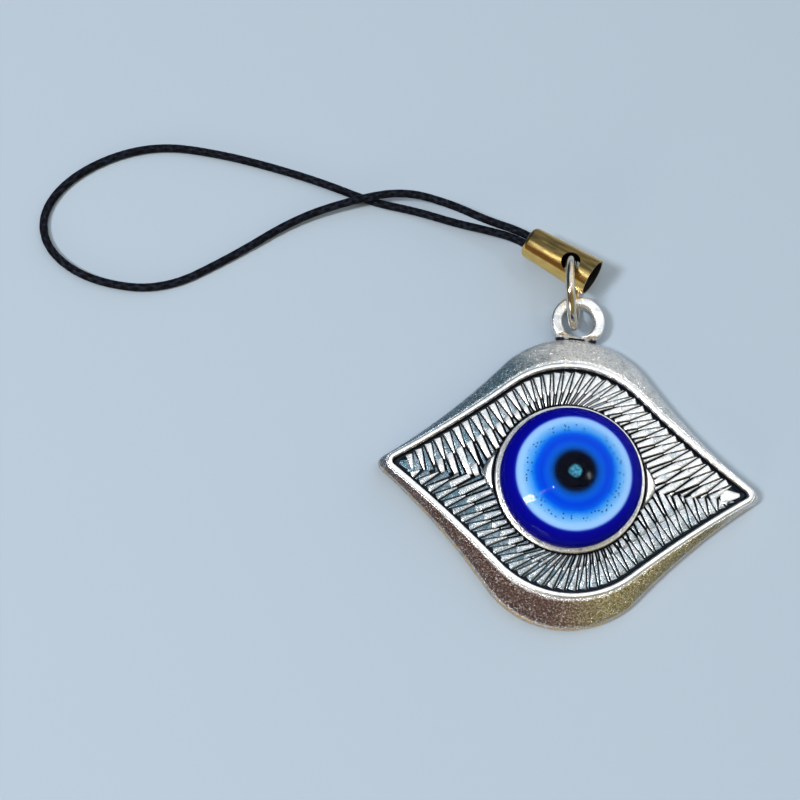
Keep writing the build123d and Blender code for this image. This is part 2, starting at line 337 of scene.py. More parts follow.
# --- finishes ---
@dataclass(frozen=True)
class AntiqueSilver:
    """Bright plate with dark patina in the recesses and a sanded grain on the slopes, with painted shade, painted
    reflection tints and painted sparkle placed by position.
    """

    name: str = "antique_silver"
    bright: Colour = (0.9, 0.91, 0.92)
    dark: Colour = (0.004, 0.009, 0.018)
    painted_cool_reflection: Colour = (0.12, 0.205, 0.26)
    painted_warm_reflection: Colour = (0.17, 0.1, 0.082)
    painted_olive_reflection: Colour = (0.36, 0.3, 0.14)
    # Painted warm reflection colour for the lower edge of the side wall.
    brass: Colour = (0.8, 0.52, 0.22)
    polish: float = 0.24
    relief: float = 7.0e-5

    def material(self, place: Placement) -> bpy.types.Material:
        """The finish on pieces of the casting, whose patina, grain, painted shade and painted tint mask are in
        their attributes.

        Args:
            place: the casting's own frame.

        Returns:
            The material.
        """
        g = Graph(self.name)
        where = g.local(place)
        right, up, _ = g.split(where)
        names = ("patina", "grain", "painted_shade", "painted_tint")
        patina, grain, painted_shade, painted_tint = (g.attribute(name) for name in names)
        cloud = g.noise(where, 0.9, 4.0)
        speckle = g.noise(where, 4.2, 3.0)
        sand = g.noise(where, 4.6, 4.0)
        fine = g.noise(where, 11.0, 2.0)
        spots = (speckle - 0.5).ramp(0.02, 0.12)
        hollows = (0.5 - speckle).ramp(0.02, 0.12)
        # The sanded slope is painted brightest at the upper right, a painted reflection of the bright room there.
        painted_bright_reflection = (right * 0.7 + up).ramp(6.0, 16.0)
        pits = spots * (painted_shade * 0.8 + patina * 0.5) + hollows * grain * (0.6 - painted_bright_reflection * 0.25)
        dark = (patina.ramp(0.3, 0.8) + pits).clipped()
        tone = painted_shade * 0.9 + cloud.ramp(0.45, 0.7) * 0.25 + grain * (0.9 - painted_bright_reflection * 0.85)
        # Specks of the grain are lightened into a painted sparkle, and darkened into pits where painted shade or
        # patina lies.
        tone = (tone * (1.25 - spots * 0.55)).clipped()
        # Painted reflection tints: bluish above and on the lashes, reddish to olive along the lower slope.
        low = g.mix(right.ramp(-2.0, 6.0), self.painted_warm_reflection, self.painted_olive_reflection)
        shade = g.mix(grain.ramp(0.1, 0.4) * (1.0 - up.ramp(-3.0, 2.0)), self.painted_cool_reflection, low)
        # Along the lower edge of the side wall, a painted warm reflection in patches, in the colour named brass.
        bare = painted_tint * g.noise(where, 1.1, 3.0).ramp(0.35, 0.6) * (1.0 - up.ramp(-2.0, 2.0))
        plate = g.mix(bare, g.mix(tone, self.bright, shade), self.brass)
        height = sand * (grain * 3.0 + painted_shade * 0.8 + 0.1) + fine * (grain * 1.6 + 0.3)
        shader = g.principled(
            Base_Color=g.mix(dark, plate, self.dark),
            Metallic=1.0 - dark * 0.35,
            Roughness=self.polish + grain * 0.04 + dark * 0.3 + (cloud - 0.5) * 0.12,
            Normal=g.bump(height, self.relief),
        )
        return g.done(shader)


@dataclass(frozen=True)
class EyeResin:
    """Poured colours that run into each other ring by ring, seen through the clear skin."""

    name: str = "eye_resin"
    outer: float = 9.0
    rings: tuple[tuple[float, Colour], ...] = (
        (0.0, (0.0012, 0.0014, 0.003)), (2.2, (0.001, 0.0015, 0.005)),
        (2.5, (0.001, 0.012, 0.06)), (2.85, (0.001, 0.055, 0.32)),
        (3.4, (0.001, 0.085, 0.6)), (4.1, (0.0005, 0.042, 0.6)),
        (4.75, (0.001, 0.07, 0.64)), (5.1, (0.006, 0.16, 0.7)),
        (5.5, (0.05, 0.27, 0.74)), (6.05, (0.13, 0.38, 0.78)),
        (6.55, (0.25, 0.48, 0.84)), (6.95, (0.25, 0.47, 0.85)),
        (7.12, (0.14, 0.29, 0.76)), (7.28, (0.008, 0.018, 0.3)),
        (7.5, (0.0015, 0.002, 0.24)), (9.0, (0.0012, 0.0016, 0.2)),
    )
    bubble: Colour = (0.055, 0.27, 0.42)
    bubble_edge: Pair = (0.6, 0.95)
    speck: Colour = (0.001, 0.008, 0.05)

    def material(self, place: Placement) -> bpy.types.Material:
        """The finish on every layer under the clear skin.

        Args:
            place: the casting's own frame, whose origin is under the eye's middle.

        Returns:
            The material.
        """
        g = Graph(self.name)
        where = g.local(place)
        flat = g.vector_math("MULTIPLY", where, (1.0, 1.0, 0.0))
        radius = g.vector_math("LENGTH", flat, output="Value")
        # The rings wander most between the blue and the white, and least at the pupil and edge.
        wander = (g.noise(flat, 0.35, 2.0) - 0.5) * 0.3 + (g.noise(flat, 2.4, 2.0) - 0.5) * 0.1
        calm = radius.ramp(3.0, 4.5) * (1.0 - radius.ramp(6.2, 6.9))
        ring = (radius + wander * (calm * 1.6 + 0.25)) / self.outer
        stops = [(r / self.outer, colour) for r, colour in self.rings]
        base = g.node("ShaderNodeValToRGB", {"stops": stops}, {0: ring}, "Color")
        # A pale blue bubble sits in the pupil's middle.
        mottle = g.noise(flat, 2.6, 3.0).ramp(0.36, 0.62)
        uneven = (g.noise(flat, 1.6, 2.0) - 0.5) * 0.5
        bubble = 1.0 - (radius + uneven).ramp(*self.bubble_edge)
        base = g.mix(bubble * (mottle * 0.65 + 0.35), base, self.bubble)
        # Specks lie in some of the cells of one band.
        near = g.voronoi(flat, 2.1, "Distance")
        which = g.voronoi(flat, 2.1, "Color")
        chosen = g.node("ShaderNodeSeparateColor", {}, {0: which}, 0) > 0.62
        band = radius.ramp(5.1, 5.4) * (1.0 - radius.ramp(6.0, 6.3))
        specks = (1.0 - near.ramp(0.16, 0.27)) * chosen * band
        base = g.mix(specks * 0.85, base, self.speck)
        return g.done(g.principled(Base_Color=base, Roughness=0.5, IOR=1.02))


@dataclass(frozen=True)
class ClearResin:
    """Polished clear skin: only its gloss shows, and what lies under it."""

    name: str = "clear_resin"
    roughness: float = 0.03
    ior: float = 1.15

    def material(self) -> bpy.types.Material:
        """The finish on the eye's skin.

        Returns:
            The material.
        """
        g = Graph(self.name)
        white = (1.0, 1.0, 1.0, 1.0)
        clear = g.node("ShaderNodeBsdfTransparent", {}, {"Color": white})
        inputs = {"Color": white, "Roughness": self.roughness}
        gloss = g.node("ShaderNodeBsdfGlossy", {}, inputs)
        fresnel = g.node("ShaderNodeFresnel", {}, {"IOR": self.ior})
        back = g.node("ShaderNodeNewGeometry", output="Backfacing")
        factor = fresnel * (1.0 - back)
        return g.done(g.node("ShaderNodeMixShader", {}, {0: factor, 1: clear, 2: gloss}))


@dataclass(frozen=True)
class PlatedMetal:
    """Thin bright plate with faint draw lines, handling marks and dull spots, a painted dark reflection along its
    upper side and painted shade on its inner faces.
    """

    name: str
    bright: Colour
    dull: Colour
    roughness: float
    lines: float = 0.4
    unlit: Colour = (0.003, 0.003, 0.004)
    painted_dark_reflection: Colour = (0.085, 0.075, 0.035)
    painted_tint: float = 0.0
    relief: float = 2.0e-5

    def material(self, place: Placement, stretch: Point = (1.0, 1.0, 1.0)) -> bpy.types.Material:
        """The finish in a piece's own frame.

        Args:
            place: the frame that the marks lie in.
            stretch: how close together the marks are along each of its axes.

        Returns:
            The material.
        """
        g = Graph(self.name)
        where = g.local(place)
        long = g.vector_math("MULTIPLY", where, stretch)
        marks = g.noise(long, 2.2, 5.0)
        cloud = g.noise(where, 0.7, 4.0)
        tone = (cloud.ramp(0.35, 0.72) * 0.6 + marks.ramp(0.45, 0.75) * 0.4).clipped()
        inside, upper = g.attribute("inside"), g.attribute("upper")
        # The cap's upper side gets a mottled painted dark reflection.
        painted_top_mask = upper * (g.noise(long, 1.1, 5.0).ramp(0.3, 0.65) * 0.28 + 0.7) * self.painted_tint
        plate = g.mix(painted_top_mask, g.mix(tone, self.bright, self.dull), self.painted_dark_reflection)
        rough = self.roughness + (cloud - 0.5) * 0.14 + (marks - 0.5) * 0.1
        shader = g.principled(
            Base_Color=g.mix(inside, plate, self.unlit),
            Metallic=1.0 - inside * 0.6,
            Roughness=rough + inside * 0.4 + painted_top_mask * 0.2,
            Normal=g.bump(marks * self.lines + cloud, self.relief, 0.6),
        )
        return g.done(shader)


@dataclass(frozen=True)
class BraidedNylon:
    """Black nylon yarns with a painted sheen along their crowns and painted shade in the gaps between them."""

    name: str = "braided_nylon"
    deep: Colour = (0.0005, 0.0006, 0.0008)
    yarn: Colour = (0.0022, 0.0025, 0.0042)
    painted_sheen: Colour = (0.012, 0.017, 0.032)
    fibre: Point = (900.0, 14.0, 1.0)
    tuft: Point = (260.0, 3.0, 1.0)
    relief: float = 2.5e-5

    def material(self) -> bpy.types.Material:
        """The finish on the cord, whose relief is in its "crown" attribute and its UV map.

        Returns:
            The material.
        """
        g = Graph(self.name)
        crown = g.attribute("crown")
        uv = g.node("ShaderNodeTexCoord", output="UV")
        fibres = g.noise(g.vector_math("MULTIPLY", uv, self.fibre), 1.0, 2.0)
        fuzz = g.noise(g.vector_math("MULTIPLY", uv, self.tuft), 1.0, 3.0)
        # Painted sheen on the yarns' crowns, and painted shade in the colour named deep in the gaps.
        painted_sheen_mask = (crown.ramp(0.55, 1.0) * fuzz.ramp(0.35, 0.7)).clipped()
        base = g.mix(crown.ramp(0.1, 0.7), self.deep, g.mix(painted_sheen_mask, self.yarn, self.painted_sheen))
        shader = g.principled(
            Base_Color=base,
            Roughness=0.6 - painted_sheen_mask * 0.15,
            IOR=1.14,
            Normal=g.bump(fibres + crown, self.relief, 0.7),
        )
        return g.done(shader)


@dataclass(frozen=True)
class CuredGlue:
    """Yellowed clear glue with small bubbles."""

    name: str = "cured_glue"
    colour: Colour = (0.72, 0.68, 0.5)
    bubbly: Colour = (0.5, 0.46, 0.32)
    relief: float = 3.0e-5

    def material(self, place: Placement) -> bpy.types.Material:
        """The finish on the glue under the eye.

        Args:
            place: the casting's own frame.

        Returns:
            The material.
        """
        g = Graph(self.name)
        bubbles = g.noise(g.local(place), 2.0, 3.0)
        base = g.mix(bubbles.ramp(0.4, 0.7), self.colour, self.bubbly)
        normal = g.bump(bubbles, self.relief)
        return g.done(g.principled(Base_Color=base, Roughness=0.3, Normal=normal))


@dataclass(frozen=True)
class PaleFloor:
    """Plain matt table top."""

    name: str = "pale_floor"
    colour: Colour = (0.36, 0.44, 0.53)

    def material(self) -> bpy.types.Material:
        """The finish on the table."""
        g = Graph(self.name)
        return g.done(g.principled(Base_Color=(*self.colour, 1.0), Roughness=0.9))


# --- mesh making ---
def share(value: float, low: float, high: float) -> float:
    """How far a value has come from low to high, from nought to one."""
    return max(0.0, min(1.0, (value - low) / (high - low)))


def closed_loop(
    bm: bmesh.types.BMesh, points: list[Vector]
) -> tuple[list[bmesh.types.BMVert], list[bmesh.types.BMEdge]]:
    """Adds a closed loop of edges.

    Args:
        bm: the mesh.
        points: the loop's corners, in order.

    Returns:
        Its corners and its edges.
    """
    verts = [bm.verts.new(p) for p in points]
    return verts, [bm.edges.new(pair) for pair in zip(verts, verts[1:] + verts[:1])]


def as_mesh(bm: bmesh.types.BMesh, name: str) -> bpy.types.Mesh:
    """The finished mesh, which is freed of its editing data.

    Args:
        bm: the mesh as it was edited.
        name: the finished mesh's name.

    Returns:
        The mesh.
    """
    mesh = bpy.data.meshes.new(name)
    bm.to_mesh(mesh)
    bm.free()
    return mesh


def placed(name: str, data: Any) -> bpy.types.Object:
    """A new object in the scene.

    Args:
        name: its name.
        data: its mesh, light or camera.

    Returns:
        The object.
    """
    made = bpy.data.objects.new(name, data)
    bpy.context.scene.collection.objects.link(made)
    return made


def mark(bm: bmesh.types.BMesh, name: str, value: Callable[[Vector], float]) -> None:
    """Gives every vertex the value of a new float attribute that its place calls for.

    Args:
        bm: the mesh.
        name: the attribute's name.
        value: gives the value at a place.
    """
    layer = bm.verts.layers.float.new(name)
    for vert in bm.verts:
        vert[layer] = value(vert.co)


def spun(bm: bmesh.types.BMesh, profile: list[Pair], steps: int) -> None:
    """Turns a closed profile round the local Z axis into a closed solid.

    Args:
        bm: the mesh that it goes into.
        profile: radius and height of each corner, in order round the section.
        steps: faces in a full turn.
    """
    verts, edges = closed_loop(bm, [Vector((r, 0.0, z)) for r, z in profile])
    on_axis = [e for e in edges if all(v.co.x < NEAR for v in e.verts)]
    bmesh.ops.delete(bm, geom=on_axis, context="EDGES_FACES")
    bmesh.ops.spin(
        bm,
        geom=verts + [e for e in edges if e.is_valid],
        cent=(0, 0, 0),
        axis=(0, 0, 1),
        angle=2 * pi,
        steps=steps,
        use_merge=True,
    )


def arc(centre: Pair, radius: float, start: float, end: float, steps: int) -> list[Pair]:
    """Points along an arc.

    Args:
        centre: the arc's middle.
        radius: its radius.
        start: where it starts, in degrees from the first axis.
        end: where it ends.
        steps: how many runs it has.

    Returns:
        The points, both ends among them.
    """
    turns = [radians(start + (end - start) * i / steps) for i in range(steps + 1)]
    return [(centre[0] + radius * cos(a), centre[1] + radius * sin(a)) for a in turns]


@dataclass
class Piece:
    """A finished mesh in its place, on its body, in its finish.

    Its edges stay sharp where their faces meet at more than the sharp angle, in degrees.
    """

    name: str
    body: Body
    slot: Slot
    replaced: tuple[str, ...] = ()
    sharp: float = 40.0

    def add(
        self, bm: bmesh.types.BMesh, matrix: Matrix, material: bpy.types.Material
    ) -> bpy.types.Object:
        """Puts the mesh into the scene.

        Args:
            bm: the mesh, which is freed.
            matrix: its own units to the model's metres.
            material: its finish.

        Returns:
            The object.
        """
        bmesh.ops.remove_doubles(bm, verts=bm.verts, dist=1e-5)
        bmesh.ops.recalc_face_normals(bm, faces=bm.faces)
        bm.transform(matrix)
        for face in bm.faces:
            face.smooth = True
        for edge in bm.edges:
            edge.smooth = len(edge.link_faces) < 2 or edge.calc_face_angle(0) < radians(self.sharp)
        mesh = as_mesh(bm, self.name)
        mesh.materials.append(material)
        piece = placed(self.name, mesh)
        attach(piece, self.body.value)
        if self.replaced:
            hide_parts(*self.replaced)
        log.info("%s: %d faces on %s", self.name, len(mesh.polygons), self.body.value)
        return piece


def dress(node: str, material: bpy.types.Material) -> None:
    """Gives a CAD node that stays its finish.

    Args:
        node: the node's name.
        material: its finish.
    """
    piece = frame["nodes"][node]
    piece.data.materials.clear()
    piece.data.materials.append(material)
    log.info("%s: kept from the frame", node)


# --- casting ---
@dataclass(frozen=True)
class Ogee:
    """Outline with a round crown above and below and a rounded point at each side, in millimetres."""

    half_width: float
    half_height: float
    crown_radius: float
    crown_angle: float
    tip_radius: float
    crown_steps: int = 24
    flank_steps: int = 60
    tip_steps: int = 8

    def quarter(self, outset: float) -> list[Vector]:
        """The upper right quarter, from the crown to the tip, moved outwards by the outset.

        Args:
            outset: how far outwards, in millimetres.

        Returns:
            Its points, clockwise.
        """
        turn = radians(self.crown_angle)
        out = Vector((sin(turn), cos(turn)))
        start = Vector((0, self.half_height - self.crown_radius)) + out * self.crown_radius
        chord = Vector((self.half_width, 0)) - start
        flank = chord.length_squared / (2 * chord.dot(out))
        hub = start + out * flank
        flank -= outset
        tip = self.tip_radius + max(outset, 0.0)
        tip_hub = Vector((hub.x - sqrt((flank + tip) ** 2 - hub.y**2), 0))
        touch = hub + (tip_hub - hub) * (flank / (flank + tip))
        top = (0, self.half_height - self.crown_radius)
        level = 90 - self.crown_angle
        crown = arc(top, self.crown_radius + outset, 90, level, self.crown_steps)
        first = degrees(atan2(-out.y, -out.x))
        last = degrees(atan2(touch.y - hub.y, touch.x - hub.x))
        side = arc(tuple(hub), flank, first, last, self.flank_steps)
        lift = degrees(atan2(touch.y, touch.x - tip_hub.x))
        point = arc(tuple(tip_hub), tip, lift, 0, self.tip_steps)
        return [Vector(p) for p in crown + side[1:] + point[1:]]

    def loop(self, outset: float) -> list[Vector]:
        """The whole outline, clockwise from the upper crown, moved outwards by the outset.

        Args:
            outset: how far outwards, in millimetres.

        Returns:
            Its points, none of them twice.
        """
        right = self.quarter(outset)
        lower = [Vector((p.x, -p.y)) for p in reversed(right)][1:]
        left = [Vector((-p.x, -p.y)) for p in right][1:]
        upper = [Vector((-p.x, p.y)) for p in reversed(right)][1:-1]
        return right + lower + left + upper


@dataclass
class Course:
    """One level loop of the casting's skin, and how far each of its points rises as bare land."""

    points: list[Vector]
    height: float
    patina: float = 0.0
    grain: float = 0.0
    land: list[float] | None = None


@dataclass
class Casting:
    """Silver body: flat back, side wall, sanded slope, polished rim, groove, field and eye seat.

    A section's rows give how far out of its outline each loop lies, its height, and its patina,
    or on the rim its grain. The lip's rows start with a radius instead.
    """

    place: Placement
    outer: Ogee = Ogee(24.8, 18.8, 12.2, 50.0, 0.9)
    inner: Ogee = Ogee(22.8, 14.4, 12.2, 41.0, 0.5)
    wall: Section = ((-0.35, 0.0, 0.2), (-0.1, 0.08, 0.0), (0.0, 0.35, 0.0), (0.0, 1.35, 0.0))
    wall_grain: float = 0.5
    shoulder: tuple[Pair, ...] = ((-0.03, 1.54), (-0.08, 1.62))
    shoulder_grain: float = 0.3
    painted_tint_below: float = 1.64
    slope_top: Pair = (0.74, 3.1)
    slope_at: tuple[float, ...] = (0.05, 0.12, 0.2, 0.3, 0.4, 0.5, 0.6, 0.7, 0.8, 0.88, 0.94)
    slope_bend: float = 1.7
    slope_fade: float = 8.0
    rim: Section = (
        (0.74, 3.1, 0.3), (0.7, 3.14, 0.06), (0.66, 3.26, 0.0), (0.6, 3.35, 0.0),
        (0.52, 3.39, 0.0), (0.42, 3.4, 0.0), (0.2, 3.4, 0.0), (0.1, 3.38, 0.0),
        (0.03, 3.31, 0.0), (0.0, 3.18, 0.0),
    )
    groove: tuple[Pair, ...] = (
        (-0.05, 2.75), (-0.09, 2.42), (-0.18, 2.3), (-0.42, 2.3), (-0.52, 2.36), (-0.62, 2.42),
    )
    lip: Section = (
        (9.7, 2.42, 0.9), (9.66, 2.3, 1.0), (9.6, 2.26, 1.0), (9.54, 2.3, 1.0), (9.5, 2.5, 0.8),
        (9.48, 2.78, 0.0), (9.43, 2.88, 0.0), (9.35, 2.92, 0.0), (9.22, 2.92, 0.0), (9.15, 2.87, 0.0),
        (9.11, 2.75, 0.2), (9.1, 2.4, 1.0), (9.1, 1.4, 1.0), (6.0, 1.4, 1.0), (2.0, 1.4, 1.0),
    )
    lip_outset: float = -0.7
    floor: float = 2.3
    field_end: float = 9.7
    field_at: tuple[float, ...] = (
        0.04, 0.15, 0.3, 0.45, 0.6, 0.7, 0.78, 0.84, 0.88, 0.91, 0.94, 0.96, 0.98,
    )
    land_rise: float = 0.42
    land_edge: float = 0.25
    crescent: float = 1.3
    crescent_spread: float = 0.25
    crescent_inset: float = 0.1
    bail_y: float = 21.3
    bail_radius: float = 3.55
    bail_hole: float = 2.1
    bail_low: float = 0.25
    bail_high: float = 2.05
    bail_round: float = 0.4
    bail_steps: int = 72
    bail_round_steps: int = 5
    bail_grain: float = 0.12
    bail_foot: Pair = (2.0, 2.5)
    bail_stain: Pair = (2.2, 2.35)
    bail_thinning: float = 0.45

    def slope(self) -> list[Course]:
        """The rounded slope between the side wall and the rim.

        Returns:
            Its loops, from the foot up.
        """
        (foot_out, low), (head_out, high) = self.shoulder[-1], self.slope_top
        foot, head = self.outer.loop(foot_out), self.inner.loop(head_out)
        courses = []
        for t in self.slope_at:
            points = [a.lerp(b, t) for a, b in zip(foot, head)]
            rise = 1 - (1 - t) ** self.slope_bend
            grain = min(1.0, t * self.slope_fade, (1 - t) * self.slope_fade)
            courses.append(Course(points, low + (high - low) * rise, 0.0, grain))
        return courses

    def shore(self, point: Vector) -> float:
        """How far from the eye's middle the bare crescent by the seat ends, in that direction."""
        steep = point.y / max(abs(point.x), 0.1) / self.crescent_spread
        return self.field_end - self.crescent_inset + self.crescent * exp(-(steep**2))

    def field(self) -> list[Course]:
        """The floor between the groove and the eye, raised where it carries no lashes.

        Returns:
            Its loops, from the groove in.
        """
        edge = self.inner.loop(self.groove[-1][0])
        seat = [p.normalized() * self.field_end for p in edge]
        courses = []
        for t in self.field_at:
            points = [a.lerp(b, t) for a, b in zip(edge, seat)]
            land = [share(self.shore(p) - p.length, 0.0, self.land_edge) for p in points]
            courses.append(Course(points, self.floor, 1.0, 0.0, land))
        return courses

    def courses(self) -> list[Course]:
        """Every loop, from the back's edge to the seat's floor.

        Returns:
            The loops, which all have as many points.
        """
        skin = [Course(self.outer.loop(o), z, dirt, self.wall_grain) for o, z, dirt in self.wall]
        foot = self.shoulder_grain
        skin += [Course(self.outer.loop(o), z, 0.0, foot) for o, z in self.shoulder]
        skin += self.slope()
        skin += [Course(self.inner.loop(o), z, 0.0, grain) for o, z, grain in self.rim]
        skin += [Course(self.inner.loop(o), z, 1.0) for o, z in self.groove]
        skin += self.field()
        bearing = [p.normalized() for p in self.inner.loop(self.lip_outset)]
        return skin + [Course([d * r for d in bearing], z, dirt) for r, z, dirt in self.lip]

    def body(self) -> bmesh.types.BMesh:
        """The closed skin of the casting without its bail.

        Returns:
            The mesh, with its patina, grain and the mask for its painted tint.
        """
        bm = bmesh.new()
        names = ("patina", "grain", "painted_tint")
        patina, grain, painted_tint = (bm.verts.layers.float.new(name) for name in names)
        before = []
        for course in self.courses():
            land = course.land or [0.0] * len(course.points)
            heights = [course.height + self.land_rise * k for k in land]
            points = [Vector((p.x, p.y, z)) for p, z in zip(course.points, heights)]
            verts, edges = closed_loop(bm, points)
            for vert, bare in zip(verts, land):
                vert[patina] = course.patina * (1.0 - bare)
                vert[grain] = course.grain
                vert[painted_tint] = float(vert.co.z < self.painted_tint_below)
            if before:
                bmesh.ops.bridge_loops(bm, edges=before + edges)
            else:
                bmesh.ops.contextual_create(bm, geom=edges)
            before = edges
        bmesh.ops.contextual_create(bm, geom=before)
        return bm

    def bail(self, bm: bmesh.types.BMesh) -> None:
        """Adds the flat ring on the upper crown, its foot thinned where it goes into the slope.

        Args:
            bm: the casting's mesh.
        """
        middle = (self.bail_hole + self.bail_radius) / 2
        half = (self.bail_radius - self.bail_hole) / 2 - self.bail_round
        low, high = self.bail_low + self.bail_round, self.bail_high - self.bail_round
        profile = []
        for quarter, (x, z) in enumerate(((half, low), (half, high), (-half, high), (-half, low))):
            start = 90 * (quarter - 1)
            corner = (middle + x, z)
            profile += arc(corner, self.bail_round, start, start + 90, self.bail_round_steps)
        fresh = bmesh.new()
        spun(fresh, profile, self.bail_steps)
        patina, grain = (fresh.verts.layers.float.new(name) for name in ("patina", "grain"))
        for vert in fresh.verts:
            vert[patina] = share(-vert.co.y, *self.bail_stain)
            vert[grain] = self.bail_grain
            sunk = share(-vert.co.y, *self.bail_foot)
            vert.co.z -= (vert.co.z - self.bail_low) * self.bail_thinning * sunk
        fresh.transform(Matrix.Translation((0, self.bail_y, 0)))
        mesh = as_mesh(fresh, "bail")
        bm.from_mesh(mesh)
        bpy.data.meshes.remove(mesh)

    def build(self, silver: bpy.types.Material) -> None:
        """Makes the casting.

        Args:
            silver: its finish.
        """
        bm = self.body()
        self.bail(bm)
        piece = Piece("silver_casting", Body.PENDANT, Slot.SILVER, ("pendant_casting",), 50.0)
        piece.add(bm, self.place.matrix(), silver)


@dataclass(frozen=True)
class Wedge:
    """One lash: a low bevelled wedge, from its root to its end, in millimetres."""

    root: Vector
    along: Vector
    length: float
    root_width: float
    end_width: float
    top: float
    painted_shade: float = 0.0


@dataclass
class Lashes:
    """Interlocking rows of cast lashes on the field, slanted round the eye."""

    casting: Casting
    count: int = 76
    rows: tuple[float, ...] = (0.0, 2.65, 5.5, 8.3, 11.0)
    edge: float = -0.4
    clear_of_seat: float = 9.68
    meeting_line: float = -0.9
    slant: float = 17.0
    slant_swing: float = 13.0
    step: float = 0.05
    line: float = 0.2
    row_gap: float = 0.12
    stagger: float = 0.3
    overlap: float = 0.18
    widest: float = 1.75
    narrowest: float = 0.2
    point: float = 0.1
    tip: float = 0.12
    squat: float = 0.5
    shortest: float = 0.3
    shortest_squat: float = 0.55
    remainder: float = 0.9
    crest: float = 2.8
    counter_drop: float = 0.05
    bare_tip: float = 20.9
    slender: float = 3.5
    bevel: float = 0.17
    crowned: float = 0.12
    sunk: float = 0.1
    slack: float = 0.1
    dirt_rate: float = 1.5
    dirt_top: float = 1.24
    painted_shade_most: float = 0.78
    painted_shade_fall: float = 0.6
    painted_shade_lean: float = 0.6
    painted_shade_span: Pair = (-12.0, 14.0)
    gloom_most: float = 0.6
    gloom_fall: float = 0.6
    gloom_span: Pair = (-1.0, 4.0)
    corner_at: float = 21.55
    corner_lean: float = -0.15
    corner_length: float = 2.5
    corner_widths: Pair = (0.5, 2.3)
    corner_drop: float = 0.08
    painted_shade_corner: float = 0.85

    def bearing(self, middle: Vector, inward: Vector) -> Vector:
        """A lash's direction: square to the groove, turned clockwise by its place round the eye.

        Args:
            middle: the place where it starts.
            inward: the groove's square there.

        Returns:
            The direction.
        """
        around = atan2(middle.y, middle.x)
        slant = self.slant + self.slant_swing * sin(2 * around)
        return Matrix.Rotation(-radians(slant), 2) @ inward

    def reach(self, root: Vector, along: Vector) -> float:
        """How long a lash can be before the seat or the opposite rows stop it.

        Args:
            root: the place where it starts.
            along: its direction.

        Returns:
            The length.
        """
        length = 0.0
        upper = root.y > self.meeting_line
        while length < self.rows[-1]:
            tip = root + along * (length + self.step)
            shore = max(self.clear_of_seat, self.casting.shore(tip) - self.slack)
            if tip.length < shore or (tip.y > self.meeting_line + self.slack) != upper:
                break
            length += self.step
        return length

    def stations(self) -> list[tuple[Vector, Vector]]:
        """Evenly spaced points on the groove's inner edge, with each lash's direction.

        Returns:
            Place and direction of each.
        """
        loop = self.casting.inner.loop(self.edge)
        ring = loop + loop[:1]
        lengths = [(b - a).length for a, b in zip(ring, ring[1:])]
        step = sum(lengths) / (2 * self.count)
        found, walked, target = [], 0.0, step / 2
        for a, b, run in zip(ring, ring[1:], lengths):
            while walked + run > target:
                point = a.lerp(b, (target - walked) / run)
                inward = Vector((b.y - a.y, a.x - b.x)).normalized()
                found.append((point, self.bearing(point, inward)))
                target += step
            walked += run
        return found

    def room(self, beside: list[tuple[Vector, Vector]], depth: float) -> float:
        """Width between the neighbouring stations' lines, at a depth from the groove.

        Args:
            beside: the stations before and after.
            depth: how far along their lines.

        Returns:
            The width that a lash can have there.
        """
        (before, before_along), (after, after_along) = beside
        gap = (after + after_along * depth - before - before_along * depth).length
        return max(self.narrowest, min(self.widest, gap) - 2 * self.line)

    def wedges(self) -> list[Wedge]:
        """Every lash, row by row from each station, alternately widening and narrowing.

        Returns:
            The lashes.
        """
        made = []
        posts = self.stations()
        for i, (root, along) in enumerate(posts):
            if abs(root.x) > self.bare_tip:
                continue
            beside = [posts[i - 1], posts[(i + 1) % len(posts)]]
            whole = self.reach(root, along)
            for row, (start, end) in enumerate(zip(self.rows, self.rows[1:])):
                widening = (i + row) % 2 == 1
                if row > 0:
                    start += self.row_gap + self.stagger if widening else -self.overlap
                last = whole < end + self.remainder
                end = whole if last else end + self.stagger * (not widening)
                if end - start < self.shortest:
                    break
                squat = last and row > 0
                if not (squat and widening and end - start < self.shortest_squat):
                    near, far = self.room(beside, start), self.room(beside, end)
                    far *= self.squat if squat else 1.0
                    spot = root + along * start
                    if widening:
                        widths, tone = (self.point, far - self.point), self.tone(spot)
                    else:
                        near -= self.point * (row > 0)
                        widths, tone = (near, far if squat else self.tip), 0.0
                    top = self.crest - self.counter_drop * widening
                    made.append(Wedge(spot, along, end - start, *widths, top, tone))
                if last:
                    break
        return made

    def corner_lands(self) -> list[Wedge]:
        """The bare land in each point of the field, with painted shade at the left.

        Returns:
            The two lands, right and left.
        """
        made = []
        for side, painted_shade in ((1, 0.0), (-1, self.painted_shade_corner)):
            root = Vector((side * self.corner_at, 0.0))
            along = Vector((-side, self.corner_lean)).normalized()
            top = self.crest - self.corner_drop
            made.append(Wedge(root, along, self.corner_length, *self.corner_widths, top, painted_shade))
        return made

    def tone(self, spot: Vector) -> float:
        """How much painted shade the counter lashes get there: most at the lower left, least at the right."""
        across = spot.x + self.painted_shade_lean * spot.y
        return self.painted_shade_most - self.painted_shade_fall * share(across, *self.painted_shade_span)

    def gloom(self, spot: Vector, along: float) -> float:
        """How much painted shade any lash gets there: the lower ones get it, most of all at their roots."""
        low = share(-spot.y, *self.gloom_span)
        return self.gloom_most * low * (1 - self.gloom_fall * along)

    def blank(self) -> bpy.types.Mesh:
        """A unit lash: one wide about the middle, one long from nought, one high.

        Returns:
            Its mesh.
        """
        bm = bmesh.new()
        long = Matrix.Diagonal((1.0, self.slender, 1.0, 1.0))
        bmesh.ops.create_cube(bm, size=1.0, matrix=Matrix.Translation((0, 0, 0.5)) @ long)
        top = [e for e in bm.edges if all(v.co.z > 0.9 for v in e.verts)]
        bmesh.ops.bevel(
            bm,
            geom=top,
            offset=self.bevel,
            offset_type="OFFSET",
            segments=2,
            profile=0.5,
            affect="EDGES",
            material=-1,
        )
        bm.transform(Matrix.Translation((0, 0.5, 0)) @ long.inverted())
        return as_mesh(bm, "lash")

